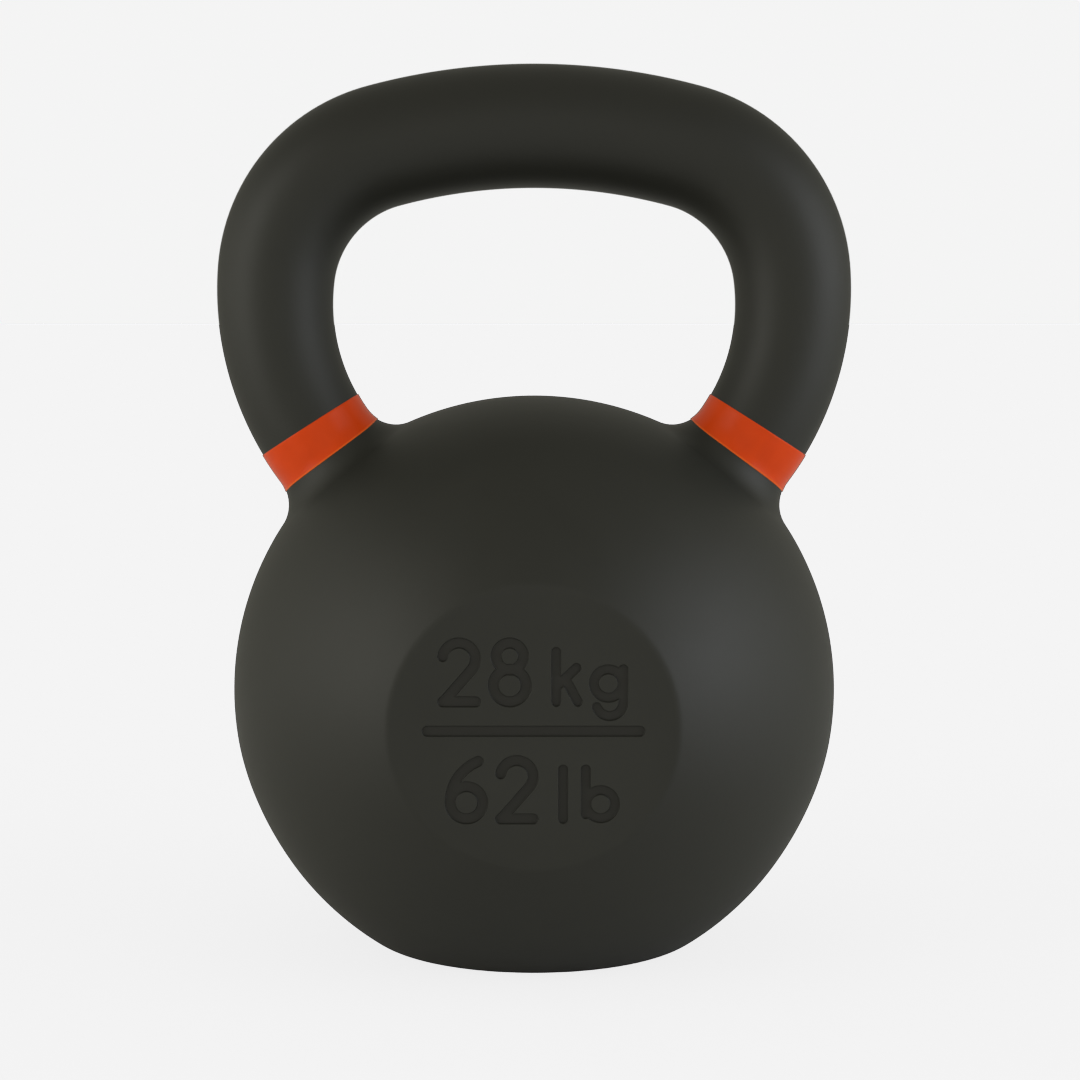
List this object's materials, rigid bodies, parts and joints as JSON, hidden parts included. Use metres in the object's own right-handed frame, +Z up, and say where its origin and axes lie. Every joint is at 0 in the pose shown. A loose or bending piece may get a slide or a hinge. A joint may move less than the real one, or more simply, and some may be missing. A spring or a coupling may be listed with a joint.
{
  "type": "kettlebell",
  "caption": "Cast iron kettlebell: ball with a flat base and a flat marked face, closed loop handle of round bar, and a coloured band on each horn.",
  "frame": {"origin": "centre of the flat base, on the face that rests on the floor", "axes": "+Z up towards the grip, +X along the grip towards the right horn, -Y out of the flat marked face"},
  "size_m": [0.2002, 0.1813, 0.2783],
  "materials": {
    "coated_iron": "fine matte powder coat, dark olive grey",
    "colour_band": "satin orange"
  },
  "bodies": {
    "root": {"bell": "coated_iron", "grip": "coated_iron", "left_horn": "coated_iron", "right_horn": "coated_iron", "left_band": "colour_band", "right_band": "colour_band"}
  },
  "joints": []
}
